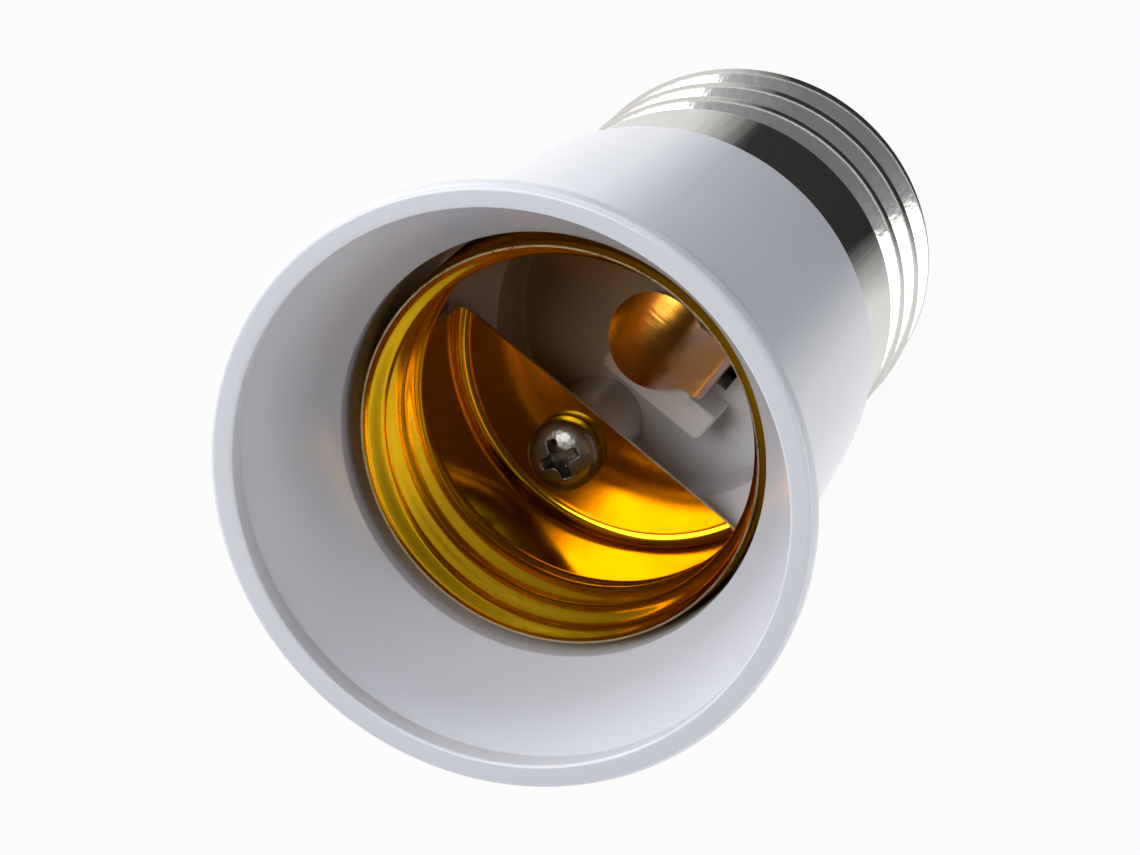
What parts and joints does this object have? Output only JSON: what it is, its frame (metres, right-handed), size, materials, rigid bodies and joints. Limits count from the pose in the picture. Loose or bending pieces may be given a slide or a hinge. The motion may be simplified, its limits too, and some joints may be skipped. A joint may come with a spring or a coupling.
{
  "type": "lamp socket adapter",
  "caption": "Screw-in lamp socket adapter: white flared housing with a brass screw socket in its mouth and a nickel-plated screw cap of the same thread at its other end.",
  "frame": {"origin": "On the axis in the plane of the housing's shoulder, where the screw cap starts", "axes": "+Z out of the lamp mouth along the thread axis; +Y towards the plate that the screw holds; -X towards the centre contact's leg"},
  "size_m": [0.04, 0.04, 0.0606],
  "materials": {
    "white_plastic": "glossy moulded",
    "bright_brass": "bright rolled",
    "zinc_steel": "zinc plated",
    "bronze_sheet": "smooth sheet, slightly tarnished",
    "lead_sleeve": "soft insulation",
    "nickel_plate": "bright nickel plate",
    "black_glass": "glossy opaque"
  },
  "bodies": {
    "adapter": {"housing": "white_plastic", "socket_shell": "bright_brass", "shell_screw": "zinc_steel", "neutral_strap": "bright_brass", "live_lead": "lead_sleeve", "cap_shell": "nickel_plate", "cap_insulator": "black_glass", "tip_contact": "nickel_plate"},
    "contact": {"centre_contact": "bronze_sheet"}
  },
  "joints": [
    {"name": "contact_spring", "type": "hinge", "parent": "adapter", "child": "contact", "pos_m": [-0.00445, 0, 0.0008], "axis": [0, 1, 0], "range_deg": [0, 6], "stiffness_Nm_per_rad": 0.2}
  ]
}
